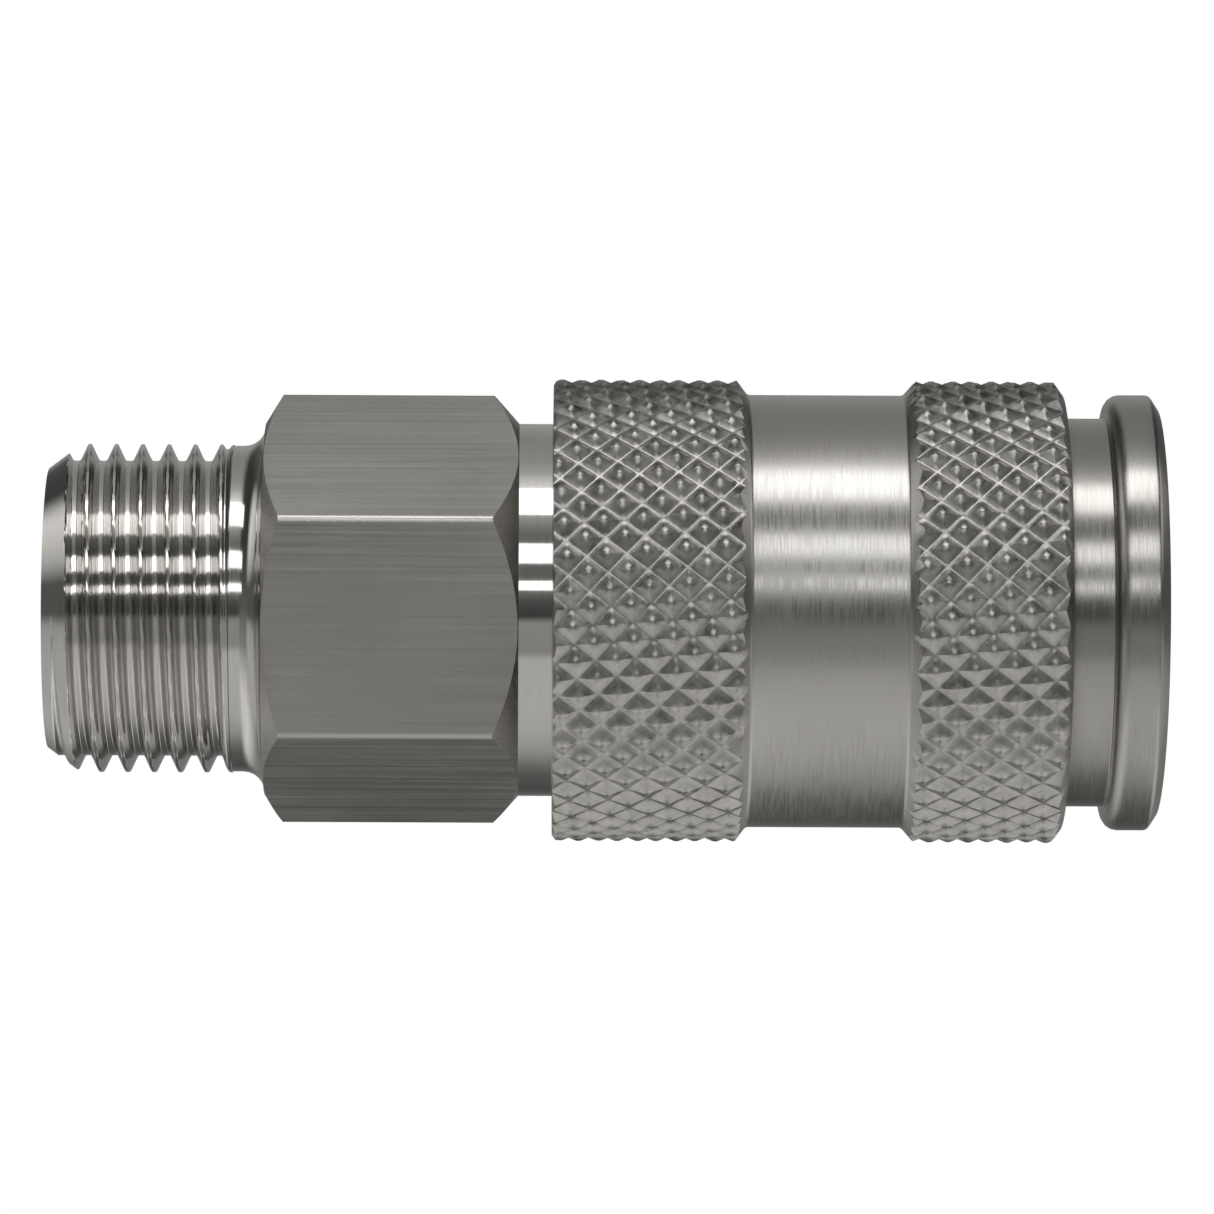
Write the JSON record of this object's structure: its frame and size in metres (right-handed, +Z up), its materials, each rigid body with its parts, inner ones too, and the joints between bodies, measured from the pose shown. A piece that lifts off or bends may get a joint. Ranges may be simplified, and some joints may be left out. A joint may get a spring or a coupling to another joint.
{
  "type": "quick disconnect coupler",
  "caption": "Stainless pneumatic quick disconnect coupler: male pipe thread, hexagon, sprung knurled release sleeve, ball lock and self-closing valve.",
  "frame": {"origin": "centre of the male thread's end face, on the coupler's axis", "axes": "+X along the coupler's axis from the thread to the face that the plug enters; -Y and +Y square to two opposite spanner flats of the hexagon; +Z up"},
  "size_m": [0.0562, 0.0234, 0.0234],
  "materials": {
    "stainless_body": "turned and polished stainless steel",
    "stainless_sleeve": "knurled and satin turned stainless steel",
    "spring_steel": "drawn stainless spring wire",
    "ball_steel": "ground and polished balls",
    "valve_steel": "turned stainless steel",
    "seal_rubber": "black sealing rubber",
    "seal_ptfe": "white sealing ring"
  },
  "bodies": {
    "housing": {"hex_adapter": "stainless_body", "locking_body": "stainless_body", "plug_seal": "seal_rubber", "body_seal": "seal_ptfe", "valve_guide": "valve_steel", "valve_spring": "spring_steel"},
    "spring_carrier": {"sleeve_spring": "spring_steel"},
    "sleeve": {"release_sleeve": "stainless_sleeve"},
    "valve": {"valve_head": "valve_steel", "valve_crown": "valve_steel", "valve_stem": "valve_steel", "valve_seal": "seal_rubber"},
    "ball_1": {"locking_ball_1": "ball_steel"},
    "ball_2": {"locking_ball_2": "ball_steel"},
    "ball_3": {"locking_ball_3": "ball_steel"},
    "ball_4": {"locking_ball_4": "ball_steel"},
    "ball_5": {"locking_ball_5": "ball_steel"},
    "ball_6": {"locking_ball_6": "ball_steel"},
    "ball_7": {"locking_ball_7": "ball_steel"},
    "ball_8": {"locking_ball_8": "ball_steel"}
  },
  "joints": [
    {"name": "sleeve_spin", "type": "hinge", "parent": "housing", "child": "spring_carrier", "pos_m": [0.0388, 0, 0], "axis": [1, 0, 0], "continuous": true},
    {"name": "sleeve_slide", "type": "slide", "parent": "spring_carrier", "child": "sleeve", "axis": [-1, 0, 0], "range_m": [0, 0.0016], "stiffness_N_per_m": 3000, "springref_m": -0.003, "deforming": ["sleeve_spring"]},
    {"name": "valve_slide", "type": "slide", "parent": "housing", "child": "valve", "axis": [-1, 0, 0], "range_m": [0, 0.0045], "stiffness_N_per_m": 1000, "springref_m": -0.004, "deforming": ["valve_spring"]},
    {"name": "ball_1_lift", "type": "slide", "parent": "housing", "child": "ball_1", "axis": [0, 0.9239, 0.3827], "range_m": [0, 0.0008]},
    {"name": "ball_2_lift", "type": "slide", "parent": "housing", "child": "ball_2", "axis": [0, 0.3827, 0.9239], "range_m": [0, 0.0008]},
    {"name": "ball_3_lift", "type": "slide", "parent": "housing", "child": "ball_3", "axis": [0, -0.3827, 0.9239], "range_m": [0, 0.0008]},
    {"name": "ball_4_lift", "type": "slide", "parent": "housing", "child": "ball_4", "axis": [0, -0.9239, 0.3827], "range_m": [0, 0.0008]},
    {"name": "ball_5_lift", "type": "slide", "parent": "housing", "child": "ball_5", "axis": [0, -0.9239, -0.3827], "range_m": [0, 0.0008]},
    {"name": "ball_6_lift", "type": "slide", "parent": "housing", "child": "ball_6", "axis": [0, -0.3827, -0.9239], "range_m": [0, 0.0008]},
    {"name": "ball_7_lift", "type": "slide", "parent": "housing", "child": "ball_7", "axis": [0, 0.3827, -0.9239], "range_m": [0, 0.0008]},
    {"name": "ball_8_lift", "type": "slide", "parent": "housing", "child": "ball_8", "axis": [0, 0.9239, -0.3827], "range_m": [0, 0.0008]}
  ],
  "couplings": [
    {"joint": "ball_1_lift", "follows": "sleeve_slide", "ratio": 0.5},
    {"joint": "ball_2_lift", "follows": "sleeve_slide", "ratio": 0.5},
    {"joint": "ball_3_lift", "follows": "sleeve_slide", "ratio": 0.5},
    {"joint": "ball_4_lift", "follows": "sleeve_slide", "ratio": 0.5},
    {"joint": "ball_5_lift", "follows": "sleeve_slide", "ratio": 0.5},
    {"joint": "ball_6_lift", "follows": "sleeve_slide", "ratio": 0.5},
    {"joint": "ball_7_lift", "follows": "sleeve_slide", "ratio": 0.5},
    {"joint": "ball_8_lift", "follows": "sleeve_slide", "ratio": 0.5}
  ]
}
